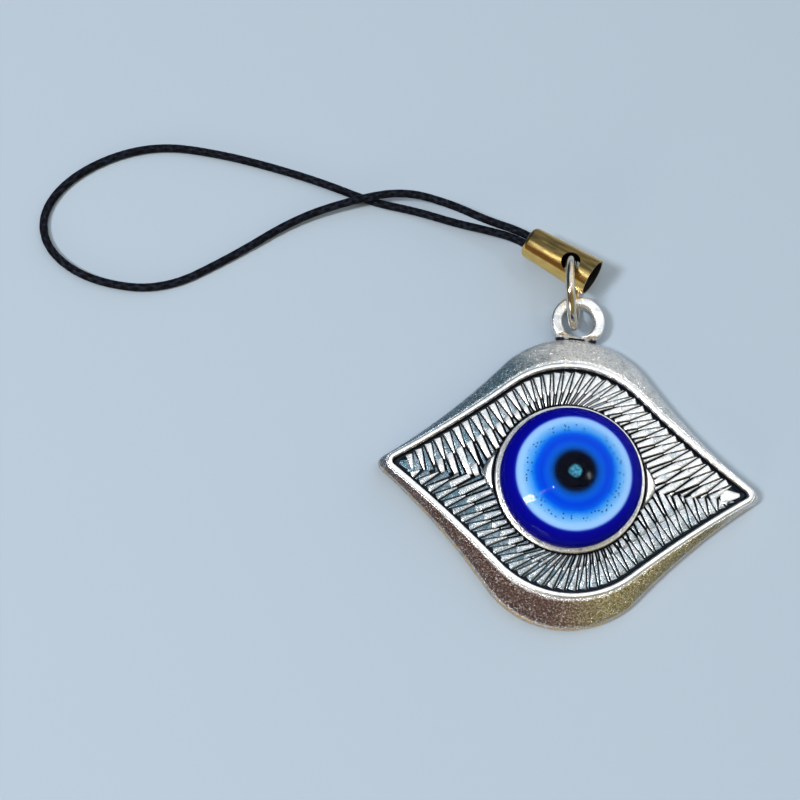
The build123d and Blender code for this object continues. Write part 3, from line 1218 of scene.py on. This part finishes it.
    def build(self, silver: bpy.types.Material) -> None:
        """Makes every lash from one blank.

        Args:
            silver: their finish.
        """
        blank = self.blank()
        bm = bmesh.new()
        patina, painted_shade = (bm.verts.layers.float.new(name) for name in ("patina", "painted_shade"))
        base = self.casting.floor - self.sunk
        for wedge in self.wedges() + self.corner_lands():
            start = len(bm.verts)
            bm.from_mesh(blank)
            bm.verts.ensure_lookup_table()
            across = Vector((wedge.along.y, -wedge.along.x))
            for vert in bm.verts[start:]:
                u, v, w = vert.co
                width = wedge.root_width + (wedge.end_width - wedge.root_width) * v
                spot = wedge.root + wedge.along * (v * wedge.length) + across * (u * width)
                crown = 1.0 - self.crowned * (2 * v - 1) ** 2
                vert.co = (spot.x, spot.y, base + (wedge.top - base) * w * crown)
                vert[patina] = (self.dirt_top - w) * self.dirt_rate
                vert[painted_shade] = max(wedge.painted_shade, self.gloom(spot, v))
        bpy.data.meshes.remove(blank)
        piece = Piece("cast_lashes", Body.PENDANT, Slot.SILVER, (), 60.0)
        piece.add(bm, self.casting.place.matrix(), silver)


# --- eye ---
@dataclass
class Eye:
    """Domed eye: a cobalt core with three inlaid discs, under a clear skin."""

    place: Placement
    foot: float = 1.55
    top: float = 7.65
    dome_radius: float = 18.0
    radius: float = 9.0
    shoulder: float = 2.0
    skin: float = 0.14
    skin_gap: float = 0.02
    layers: tuple[tuple[str, Slot, float, float, float], ...] = (
        ("eye_pupil", Slot.BLACK, 0.0, 2.7, 0.3),
        ("eye_blue_layer", Slot.AZURE, 2.7, 5.6, 0.5),
        ("eye_white_layer", Slot.PALE, 5.6, 7.25, 0.7),
    )
    inlay: float = 0.7
    inlay_at: tuple[float, ...] = (0.0, 2.0, 4.0, 5.6, 7.25)
    rings: int = 26
    runs: int = 10
    steps: int = 96

    def rise(self, r: float, top: float) -> float:
        """Height of the dome's sphere at that radius."""
        return top - self.dome_radius + sqrt(self.dome_radius**2 - r**2)

    def shell(self, edge: float, top: float, start: float = 0.0) -> list[Pair]:
        """The dome's section from a start radius out to its edge and down its shoulder.

        Args:
            edge: the dome's own radius.
            top: its height in the middle.
            start: where the section starts.

        Returns:
            Radius and height of each point.
        """
        hub = edge - self.shoulder
        inner = self.dome_radius - self.shoulder
        hub_height = top - self.dome_radius + sqrt(inner**2 - hub**2)
        tangent = degrees(acos(hub / inner))
        last = hub * self.dome_radius / inner
        crown = [start + (last - start) * i / self.rings for i in range(self.rings)]
        points = [(r, self.rise(r, top)) for r in crown]
        return points + arc((hub, hub_height), self.shoulder, tangent, 0, self.runs)

    def build(self, resin: bpy.types.Material, clear: bpy.types.Material) -> None:
        """Makes the core, its discs and the clear skin.

        Args:
            resin: the finish of the colours.
            clear: the finish of the skin.
        """
        core_edge, core_top = self.radius - self.skin, self.top - self.skin
        for name, slot, inside, outside, thick in self.layers:
            across = [
                inside + (outside - inside) * i / self.runs for i in range(self.runs + 1)
            ]
            upper = [(r, self.rise(r, core_top)) for r in across]
            lower = [(r, self.rise(r, core_top) - thick) for r in reversed(across)]
            self.turn(f"{name}_poured", slot, (name,), upper + lower, resin)
        seat = [(r, self.rise(r, core_top) - self.inlay) for r in self.inlay_at]
        section = seat + self.shell(core_edge, core_top, self.inlay_at[-1])
        section += [(core_edge, self.foot), (0.0, self.foot)]
        self.turn("eye_base_poured", Slot.COBALT, ("eye_base",), section, resin)
        outside = self.shell(self.radius, self.top)
        inside = self.shell(core_edge + self.skin_gap, core_top + self.skin_gap)
        low = self.foot + self.skin_gap
        section = outside + [(self.radius, low), (core_edge + self.skin_gap, low)]
        section += list(reversed(inside))
        self.turn("eye_skin", Slot.CLEAR, ("eye_clear_dome",), section, clear)

    def turn(
        self,
        name: str,
        slot: Slot,
        replaced: tuple[str, ...],
        section: list[Pair],
        material: bpy.types.Material,
    ) -> None:
        """Spins one closed section into a piece on the pendant.

        Args:
            name: the piece's name.
            slot: its slot in the record.
            replaced: the CAD nodes that it stands for.
            section: radius and height of each corner.
            material: its finish.
        """
        bm = bmesh.new()
        spun(bm, section, self.steps)
        Piece(name, Body.PENDANT, slot, replaced, 35.0).add(bm, self.place.matrix(), material)


# --- ring, cap and cord ---
@dataclass
class JumpRing:
    """Butted round wire ring."""

    outside: float = 10.0
    wire: float = 1.2
    butt_gap: float = 0.2
    butt_at: float = -45.0
    wire_sides: int = 28
    steps: int = 150

    def placement(self) -> Placement:
        """The ring's middle, with Z along its axis and X to its far side.

        Returns:
            The ring's own frame.
        """
        low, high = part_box("jump_ring")
        axis = Vector(joint("ring_swing")["axis"])
        return Placement((low + high) / 2, Vector((0, 0, 1)).cross(axis), axis)

    def build(self, nickel: bpy.types.Material) -> None:
        """Makes the ring.

        Args:
            nickel: its finish.
        """
        radius = (self.outside - self.wire) / 2
        turn = Matrix.Rotation(radians(self.butt_at), 4, "Z") @ Matrix.Translation((radius, 0, 0))
        stand = Matrix.Rotation(radians(90), 4, "X")
        bm = bmesh.new()
        made = bmesh.ops.create_circle(
            bm,
            cap_ends=False,
            segments=self.wire_sides,
            radius=self.wire / 2,
            matrix=turn @ stand,
        )
        bmesh.ops.spin(
            bm,
            geom=made["verts"] + list(bm.edges),
            cent=(0, 0, 0),
            axis=(0, 0, 1),
            angle=2 * pi - self.butt_gap / radius,
            steps=self.steps,
        )
        ends = [e for e in bm.edges if e.is_boundary]
        bmesh.ops.holes_fill(bm, edges=ends, sides=0)
        piece = Piece("ring_wire", Body.RING, Slot.NICKEL, ("jump_ring",), 50.0)
        piece.add(bm, self.placement().matrix(), nickel)


@dataclass
class CordCap:
    """Tapered brass ferrule whose cross hole hangs on the ring."""

    tail: float = 6.8
    mouth: float = 3.1
    tail_radius: float = 2.1
    mouth_radius: float = 2.55
    wall: float = 0.35
    painted_top_band: Pair = (0.72, 0.84)

    def placement(self) -> Placement:
        """The cross hole's middle, with Z along the cap towards the cord.

        Returns:
            The cap's own frame.
        """
        swing = joint("cap_swing")
        low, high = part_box("cord_knot")
        hole = Vector(swing["pos_m"])
        across = Vector(swing["axis"])
        tail = (low + high) / 2 - hole
        tail -= across * tail.dot(across)
        return Placement(hole, across, tail)

    def inside(self, place: Vector) -> float:
        """One on the cap's inner faces, nought on its outer ones.

        Args:
            place: a point in the cap's own frame.

        Returns:
            One or nought.
        """
        steep = (self.mouth_radius - self.tail_radius) / (self.tail + self.mouth)
        depth = self.mouth_radius - steep * (place.z + self.mouth) - hypot(place.x, place.y)
        deep = 0.6 * self.wall
        return float(depth > deep and place.z < self.tail - deep)

    def upper(self, place: Vector) -> float:
        """How far a point lies on the cap's upper side, where a dark reflection is painted, from nought to one.

        Args:
            place: a point in the cap's own frame.

        Returns:
            That share.
        """
        across, down = self.placement().matrix().to_3x3().normalized().col[:2]
        height = (across * place.x + down * place.y).normalized().z
        return share(height, *self.painted_top_band)

    def build(self, brass: bpy.types.Material) -> None:
        """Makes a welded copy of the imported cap.

        Args:
            brass: its finish.
        """
        bm = bmesh.new()
        bm.from_mesh(frame["nodes"]["cord_cap"].data)
        bmesh.ops.remove_doubles(bm, verts=bm.verts, dist=1e-7)
        bm.transform(self.placement().matrix().inverted())
        mark(bm, "inside", self.inside)
        mark(bm, "upper", self.upper)
        piece = Piece("cap_ferrule", Body.CORD_END, Slot.BRASS, ("cord_cap",), 32.0)
        piece.add(bm, self.placement().matrix(), brass)


@dataclass
class CordLoop:
    """Braided cord: out of the cap, over its other strand, round the loop and back into the cap."""

    diameter: float = 0.001
    length: float = 0.1488
    route: Section = (
        (-0.006740, 0.024540, 0.004560), (-0.008630, 0.025610, 0.004270), (-0.0130, 0.0267, 0.0042),
        (-0.0182, 0.0293, 0.0029), (-0.0246, 0.0308, 0.0023), (-0.0315, 0.0288, 0.0019),
        (-0.0388, 0.0256, 0.0011), (-0.0466, 0.0194, 0.00056), (-0.0550, 0.0137, 0.00056),
        (-0.0642, 0.0139, 0.00056), (-0.0706, 0.0172, 0.00056), (-0.0729, 0.0222, 0.00056),
        (-0.0709, 0.0276, 0.00056), (-0.0654, 0.0323, 0.00056), (-0.0584, 0.0349, 0.00056),
        (-0.0502, 0.0345, 0.00056), (-0.0420, 0.0331, 0.00056), (-0.0352, 0.0315, 0.00056),
        (-0.0288, 0.0295, 0.00056), (-0.0224, 0.0287, 0.00064), (-0.0170, 0.0272, 0.0013),
        (-0.0129, 0.02575, 0.0032), (-0.009140, 0.024670, 0.004010), (-0.007264, 0.023556, 0.004310),
    )
    exit: Point = (-0.007046, 0.024804, 0.004533)
    rings: int = 1500
    sides: int = 26
    carriers: int = 4
    lay: float = 0.00185
    crown_radius: float = 0.00054
    relief: float = 0.00007
    fullness: float = 0.8

    def spline(self) -> bpy.types.Curve:
        """The route as one smooth curve.

        Returns:
            The curve.
        """
        curve = bpy.data.curves.new("cord_route", "CURVE")
        curve.dimensions = "3D"
        curve.resolution_u = 24
        line = curve.splines.new("NURBS")
        line.points.add(len(self.route) - 1)
        for point, place in zip(line.points, self.route):
            point.co = (*place, 1.0)
        line.order_u = 3
        line.use_endpoint_u = True
        return curve

    def centreline(self) -> list[Vector]:
        """The points of that curve, as Blender draws it.

        Returns:
            The points.
        """
        curve = self.spline()
        bare = bpy.data.objects.new("cord_route", curve)
        mesh = bpy.data.meshes.new_from_object(bare)
        points = [v.co.copy() for v in mesh.vertices]
        bpy.data.meshes.remove(mesh)
        bpy.data.objects.remove(bare)
        bpy.data.curves.remove(curve)
        return points

    def relief_at(self, along: float, around: float) -> float:
        """Height of the braid, from nought in a gap to one on a yarn's crown.

        Args:
            along: metres from the cord's start.
            around: the angle round the cord.

        Returns:
            The height.
        """
        turn = 2 * pi * along / self.lay
        right = abs(cos(self.carriers * around / 2 + turn / 2))
        left = abs(cos(self.carriers * around / 2 - turn / 2))
        return max(right, left) ** self.fullness

    def build(self, nylon: bpy.types.Material) -> None:
        """Makes the braided cord along its route.

        Args:
            nylon: its finish.
        """
        line = self.centreline()
        runs = [0.0]
        for a, b in zip(line, line[1:]):
            runs.append(runs[-1] + (b - a).length)
        bm = bmesh.new()
        bm.loops.layers.uv.new("UVMap")
        crown = bm.verts.layers.float.new("crown")
        bmesh.ops.create_grid(
            bm, x_segments=self.rings, y_segments=self.sides, size=0.5, calc_uvs=True
        )
        frames = self.frames(line, runs)
        for vert in bm.verts:
            step = round((vert.co.x + 0.5) * self.rings)
            around = (vert.co.y + 0.5) * 2 * pi
            along, centre, side, lift = frames[step]
            height = self.relief_at(along, around)
            radius = self.crown_radius - self.relief * (1 - height)
            vert[crown] = height
            vert.co = centre + (side * cos(around) + lift * sin(around)) * radius
        bmesh.ops.remove_doubles(bm, verts=bm.verts, dist=1e-6)
        ends = [e for e in bm.edges if e.is_boundary]
        bmesh.ops.holes_fill(bm, edges=ends, sides=0)
        bm.transform(Matrix.Scale(1 / MM, 4))
        piece = Piece("cord_braid", Body.CORD_END, Slot.NYLON, ("cord_loop",), 80.0)
        made = piece.add(bm, Matrix.Scale(MM, 4), nylon)

    def frames(
        self, line: list[Vector], runs: list[float]
    ) -> list[tuple[float, Vector, Vector, Vector]]:
        """Even steps along the cord, each with two directions across it that don't twist.

        Args:
            line: the centreline's points.
            runs: how far along each of them lies.

        Returns:
            Distance along, middle, and the two directions, for each step.
        """
        made, at, side = [], 0, Vector((0, 0, 1))
        for i in range(self.rings + 1):
            along = runs[-1] * i / self.rings
            while at < len(runs) - 2 and runs[at + 1] < along:
                at += 1
            part = (along - runs[at]) / (runs[at + 1] - runs[at])
            centre = line[at].lerp(line[at + 1], part)
            back, ahead = line[max(at - 1, 0)], line[min(at + 2, len(line) - 1)]
            near = (line[at + 1] - line[at]).normalized()
            before, after = (line[at + 1] - back).normalized(), (ahead - line[at]).normalized()
            heading = (before.lerp(after, part) + near).normalized()
            side = (side - heading * side.dot(heading)).normalized()
            made.append((along, centre, side, heading.cross(side)))
        return made


# --- studio ---
@dataclass(frozen=True)
class Softbox:
    """One area light that looks at the charm."""

    name: str
    place: Point
    size: Pair
    power: float
    colour: Colour = (1.0, 1.0, 1.0)
    mirrored: bool = True

    def add(self) -> None:
        """Puts the light into the scene, with its place and size in millimetres."""
        data = bpy.data.lights.new(self.name, "AREA")
        data.shape = "RECTANGLE"
        data.size, data.size_y = self.size[0] * MM, self.size[1] * MM
        data.energy = self.power
        data.color = self.colour
        lamp = placed(self.name, data)
        lamp.location = Vector(self.place) * MM
        lamp.visible_glossy = self.mirrored
        lamp.rotation_euler = lamp.location.to_track_quat("Z", "Y").to_euler()


@dataclass
class Studio:
    """Camera, table, sky and soft lights."""

    camera_at: Point = (-21.958, -46.156, 157.155)
    camera_turn: Point = (16.958, -1.538, 5.358)
    lens: float = 56.7
    clip: float = 0.005
    table_half: float = 2.0
    zenith: Colour = (1.0, 1.06, 1.12)
    overhead: Point = (0.16, 0.33, 0.93)
    horizon: Colour = (0.3, 0.34, 0.39)
    north_west: Colour = (0.03, 0.055, 0.065)
    north_east: Colour = (1.1, 1.05, 0.98)
    south_west: Colour = (0.16, 0.1, 0.06)
    south_east: Colour = (0.3, 0.24, 0.1)
    lights: tuple[Softbox, ...] = (
        Softbox("fill", (-150, -200, 950), (700, 700), 1.3, mirrored=False),
        Softbox("window", (-470, -250, 847), (110, 170), 6.2),
        Softbox("streak", (-235, -120, 965), (12, 300), 1.0),
        Softbox("tick", (325, 135, 936), (120, 18), 0.5),
        Softbox("front", (-370, -870, 310), (420, 340), 1.7, (1.0, 0.92, 0.75)),
    )

    def build(self) -> None:
        """Makes everything that isn't the charm."""
        self.camera()
        self.table()
        for light in self.lights:
            light.add()
        bpy.context.scene.world = self.world()
        bpy.context.scene.view_settings.view_transform = "Standard"

    def world(self) -> bpy.types.World:
        """A soft bright patch overhead, with a darker, tinted room round it.

        Returns:
            The world.
        """
        g = Graph("studio", bpy.data.worlds)
        way = g.node("ShaderNodeTexCoord", output="Generated")
        east, north, up = g.split(way)
        right, back = east.ramp(-0.35, 0.45), north.ramp(-0.3, 0.3)
        south = g.mix(right, self.south_west, self.south_east)
        room = g.mix(back, south, g.mix(right, self.north_west, self.north_east))
        nearness = g.vector_math("DOT_PRODUCT", way, self.overhead, output="Value")
        sky = g.mix(nearness.ramp(0.78, 0.95), room, self.zenith)
        sky = g.mix(up.ramp(0.02, 0.1), self.horizon, sky)
        return g.done(g.node("ShaderNodeBackground", {}, {0: sky}), "ShaderNodeOutputWorld")

    def camera(self) -> None:
        """Places the camera above the charm, a little to its lower left."""
        data = bpy.data.cameras.new("camera")
        data.lens = self.lens
        data.clip_start = self.clip
        camera = placed("camera", data)
        camera.location = Vector(self.camera_at) * MM
        camera.rotation_euler = [radians(a) for a in self.camera_turn]
        bpy.context.scene.camera = camera

    def table(self) -> None:
        """Makes the table top."""
        bm = bmesh.new()
        bmesh.ops.create_grid(bm, x_segments=1, y_segments=1, size=self.table_half)
        table = placed("table", as_mesh(bm, "table"))
        table.data.materials.append(PaleFloor().material())


def main() -> None:
    """Builds the studio and every piece."""
    logging.basicConfig(level=logging.INFO, format="%(name)s: %(message)s")
    Studio().build()
    nylon = BraidedNylon().material()
    CordLoop().build(nylon)
    dress("cord_knot", nylon)
    place = mount_placement("flat_back")
    silver = AntiqueSilver().material(place)
    casting = Casting(place)
    casting.build(silver)
    Lashes(casting).build(silver)
    Eye(place).build(EyeResin().material(place), ClearResin().material())
    dress("eye_adhesive", CuredGlue().material(place))
    ring = JumpRing()
    nickel = PlatedMetal("nickel_plate", (0.72, 0.66, 0.56), (0.5, 0.42, 0.33), 0.12)
    ring.build(nickel.material(ring.placement()))
    cap = CordCap()
    brass = PlatedMetal("brass_plate", (0.86, 0.56, 0.17), (0.6, 0.4, 0.12), 0.14, painted_tint=1.0)
    cap.build(brass.material(cap.placement(), (3.0, 3.0, 0.25)))


if __name__ == "__main__":
    main()
